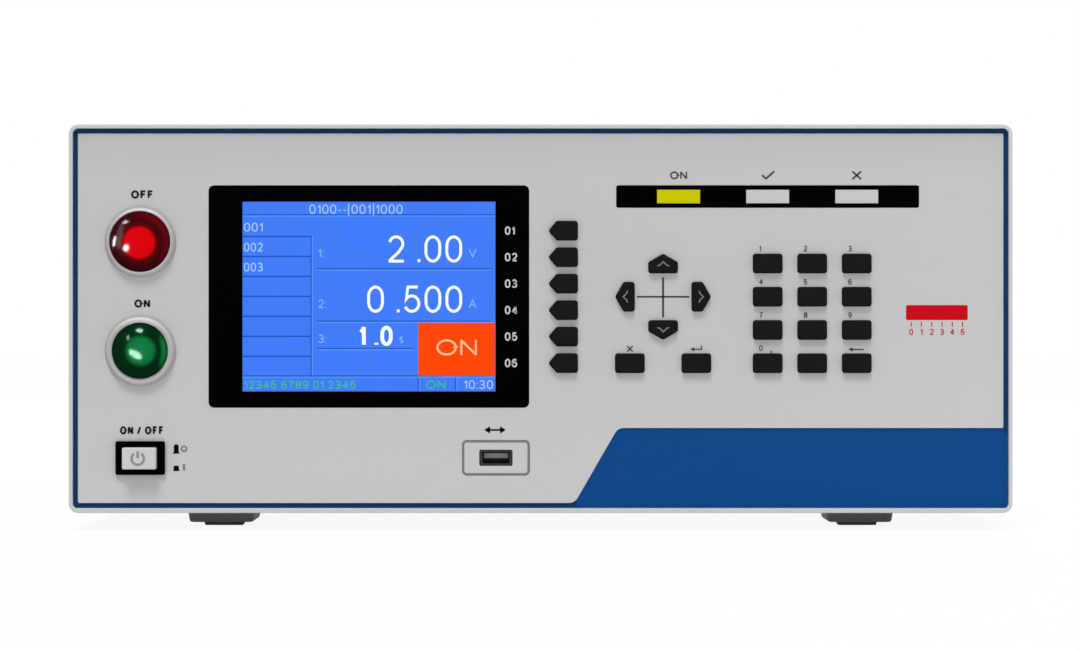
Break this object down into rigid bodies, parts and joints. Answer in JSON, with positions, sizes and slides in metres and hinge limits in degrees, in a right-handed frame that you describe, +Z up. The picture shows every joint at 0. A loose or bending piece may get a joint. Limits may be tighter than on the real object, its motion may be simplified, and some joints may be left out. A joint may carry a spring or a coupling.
{
  "type": "electrical safety tester",
  "caption": "Benchtop electrical safety tester: low wide steel case with a framed grey front, colour screen, keypad, lit push buttons, rear fan and sockets.",
  "frame": {"origin": "on the floor under the middle of the instrument", "axes": "+X to the right seen from the front, -Y out of the front panel, +Z up"},
  "size_m": [0.43, 0.465, 0.185],
  "materials": {
    "frame": "satin",
    "case_paint": "fine texture, satin",
    "bare_steel": "brushed",
    "blue_paint": "satin",
    "grey_film": "fine matt",
    "black_gloss": "gloss",
    "lit_screen": "lit",
    "lit_yellow": "lit",
    "light_lens": "satin",
    "ring_metal": "satin",
    "key_rubber": "matt",
    "red_lens": "gloss",
    "green_lens": "gloss",
    "grey_cap": "satin",
    "black_plastic": "satin",
    "foot_plastic": "matt",
    "foot_rubber": "matt",
    "plated_steel": "bright",
    "red_plastic": "gloss",
    "circuit_board": "solder mask",
    "core_steel": "varnished",
    "coil_wrap": "tape",
    "fin_aluminium": "satin"
  },
  "bodies": {
    "case": {"chassis_tray": "bare_steel", "top_cover": "case_paint", "front_bezel": "frame", "front_panel": "blue_paint", "panel_overlay": "grey_film", "rear_panel": "case_paint", "display_window": "black_gloss", "lcd_module": "plated_steel", "lcd_screen": "lit_screen", "indicator_window": "black_gloss", "test_light": "lit_yellow", "result_lights": "light_lens", "button_bezels": "ring_metal", "power_bezel": "black_plastic", "switch_bodies": "black_plastic", "key_board": "circuit_board", "usb_socket": "plated_steel", "feet": "foot_plastic", "foot_pads": "foot_rubber", "fan_housing": "black_plastic", "fan_guard": "plated_steel", "power_inlet": "black_plastic", "rear_terminals": "red_plastic", "interface_ports": "plated_steel", "transformer_core": "core_steel", "transformer_coil": "coil_wrap", "main_board": "circuit_board", "heat_sink": "fin_aluminium", "screws": "plated_steel"},
    "function_key_1": {"function_key_1": "key_rubber"},
    "function_key_2": {"function_key_2": "key_rubber"},
    "function_key_3": {"function_key_3": "key_rubber"},
    "function_key_4": {"function_key_4": "key_rubber"},
    "function_key_5": {"function_key_5": "key_rubber"},
    "function_key_6": {"function_key_6": "key_rubber"},
    "arrow_key_right": {"arrow_key_right": "key_rubber"},
    "arrow_key_up": {"arrow_key_up": "key_rubber"},
    "arrow_key_left": {"arrow_key_left": "key_rubber"},
    "arrow_key_down": {"arrow_key_down": "key_rubber"},
    "exit_key": {"exit_key": "key_rubber"},
    "enter_key": {"enter_key": "key_rubber"},
    "number_key_1": {"number_key_1": "key_rubber"},
    "number_key_2": {"number_key_2": "key_rubber"},
    "number_key_3": {"number_key_3": "key_rubber"},
    "number_key_4": {"number_key_4": "key_rubber"},
    "number_key_5": {"number_key_5": "key_rubber"},
    "number_key_6": {"number_key_6": "key_rubber"},
    "number_key_7": {"number_key_7": "key_rubber"},
    "number_key_8": {"number_key_8": "key_rubber"},
    "number_key_9": {"number_key_9": "key_rubber"},
    "number_key_0": {"number_key_0": "key_rubber"},
    "spare_key": {"spare_key": "key_rubber"},
    "backspace_key": {"backspace_key": "key_rubber"},
    "stop_button": {"stop_button": "red_lens"},
    "start_button": {"start_button": "green_lens"},
    "power_button": {"power_button": "grey_cap"},
    "fan_rotor": {"fan_rotor": "black_plastic"},
    "fuse_drawer": {"fuse_drawer": "black_plastic"},
    "left_tilt_leg": {"left_tilt_leg": "foot_plastic"},
    "right_tilt_leg": {"right_tilt_leg": "foot_plastic"}
  },
  "joints": [
    {"name": "function_key_1_push", "type": "slide", "parent": "case", "child": "function_key_1", "axis": [0, 1, 0], "range_m": [0, 0.0008], "stiffness_N_per_m": 400},
    {"name": "function_key_2_push", "type": "slide", "parent": "case", "child": "function_key_2", "axis": [0, 1, 0], "range_m": [0, 0.0008], "stiffness_N_per_m": 400},
    {"name": "function_key_3_push", "type": "slide", "parent": "case", "child": "function_key_3", "axis": [0, 1, 0], "range_m": [0, 0.0008], "stiffness_N_per_m": 400},
    {"name": "function_key_4_push", "type": "slide", "parent": "case", "child": "function_key_4", "axis": [0, 1, 0], "range_m": [0, 0.0008], "stiffness_N_per_m": 400},
    {"name": "function_key_5_push", "type": "slide", "parent": "case", "child": "function_key_5", "axis": [0, 1, 0], "range_m": [0, 0.0008], "stiffness_N_per_m": 400},
    {"name": "function_key_6_push", "type": "slide", "parent": "case", "child": "function_key_6", "axis": [0, 1, 0], "range_m": [0, 0.0008], "stiffness_N_per_m": 400},
    {"name": "arrow_key_right_push", "type": "slide", "parent": "case", "child": "arrow_key_right", "axis": [0, 1, 0], "range_m": [0, 0.0008], "stiffness_N_per_m": 400},
    {"name": "arrow_key_up_push", "type": "slide", "parent": "case", "child": "arrow_key_up", "axis": [0, 1, 0], "range_m": [0, 0.0008], "stiffness_N_per_m": 400},
    {"name": "arrow_key_left_push", "type": "slide", "parent": "case", "child": "arrow_key_left", "axis": [0, 1, 0], "range_m": [0, 0.0008], "stiffness_N_per_m": 400},
    {"name": "arrow_key_down_push", "type": "slide", "parent": "case", "child": "arrow_key_down", "axis": [0, 1, 0], "range_m": [0, 0.0008], "stiffness_N_per_m": 400},
    {"name": "exit_key_push", "type": "slide", "parent": "case", "child": "exit_key", "axis": [0, 1, 0], "range_m": [0, 0.0008], "stiffness_N_per_m": 400},
    {"name": "enter_key_push", "type": "slide", "parent": "case", "child": "enter_key", "axis": [0, 1, 0], "range_m": [0, 0.0008], "stiffness_N_per_m": 400},
    {"name": "number_key_1_push", "type": "slide", "parent": "case", "child": "number_key_1", "axis": [0, 1, 0], "range_m": [0, 0.0008], "stiffness_N_per_m": 400},
    {"name": "number_key_2_push", "type": "slide", "parent": "case", "child": "number_key_2", "axis": [0, 1, 0], "range_m": [0, 0.0008], "stiffness_N_per_m": 400},
    {"name": "number_key_3_push", "type": "slide", "parent": "case", "child": "number_key_3", "axis": [0, 1, 0], "range_m": [0, 0.0008], "stiffness_N_per_m": 400},
    {"name": "number_key_4_push", "type": "slide", "parent": "case", "child": "number_key_4", "axis": [0, 1, 0], "range_m": [0, 0.0008], "stiffness_N_per_m": 400},
    {"name": "number_key_5_push", "type": "slide", "parent": "case", "child": "number_key_5", "axis": [0, 1, 0], "range_m": [0, 0.0008], "stiffness_N_per_m": 400},
    {"name": "number_key_6_push", "type": "slide", "parent": "case", "child": "number_key_6", "axis": [0, 1, 0], "range_m": [0, 0.0008], "stiffness_N_per_m": 400},
    {"name": "number_key_7_push", "type": "slide", "parent": "case", "child": "number_key_7", "axis": [0, 1, 0], "range_m": [0, 0.0008], "stiffness_N_per_m": 400},
    {"name": "number_key_8_push", "type": "slide", "parent": "case", "child": "number_key_8", "axis": [0, 1, 0], "range_m": [0, 0.0008], "stiffness_N_per_m": 400},
    {"name": "number_key_9_push", "type": "slide", "parent": "case", "child": "number_key_9", "axis": [0, 1, 0], "range_m": [0, 0.0008], "stiffness_N_per_m": 400},
    {"name": "number_key_0_push", "type": "slide", "parent": "case", "child": "number_key_0", "axis": [0, 1, 0], "range_m": [0, 0.0008], "stiffness_N_per_m": 400},
    {"name": "spare_key_push", "type": "slide", "parent": "case", "child": "spare_key", "axis": [0, 1, 0], "range_m": [0, 0.0008], "stiffness_N_per_m": 400},
    {"name": "backspace_key_push", "type": "slide", "parent": "case", "child": "backspace_key", "axis": [0, 1, 0], "range_m": [0, 0.0008], "stiffness_N_per_m": 400},
    {"name": "stop_button_push", "type": "slide", "parent": "case", "child": "stop_button", "axis": [0, 1, 0], "range_m": [0, 0.003], "stiffness_N_per_m": 600},
    {"name": "start_button_push", "type": "slide", "parent": "case", "child": "start_button", "axis": [0, 1, 0], "range_m": [0, 0.003], "stiffness_N_per_m": 600},
    {"name": "power_button_push", "type": "slide", "parent": "case", "child": "power_button", "axis": [0, 1, 0], "range_m": [0, 0.003], "stiffness_N_per_m": 600},
    {"name": "fan_spin", "type": "hinge", "parent": "case", "child": "fan_rotor", "pos_m": [-0.14, 0.206, 0.097], "axis": [0, 1, 0], "continuous": true},
    {"name": "fuse_drawer_slide", "type": "slide", "parent": "case", "child": "fuse_drawer", "axis": [0, 1, 0], "range_m": [0, 0.018]},
    {"name": "left_leg_fold", "type": "hinge", "parent": "case", "child": "left_tilt_leg", "pos_m": [-0.1482, -0.167, 0.0066], "axis": [-1, 0, 0], "range_deg": [0, 100]},
    {"name": "right_leg_fold", "type": "hinge", "parent": "case", "child": "right_tilt_leg", "pos_m": [0.1482, -0.167, 0.0066], "axis": [-1, 0, 0], "range_deg": [0, 100]}
  ]
}
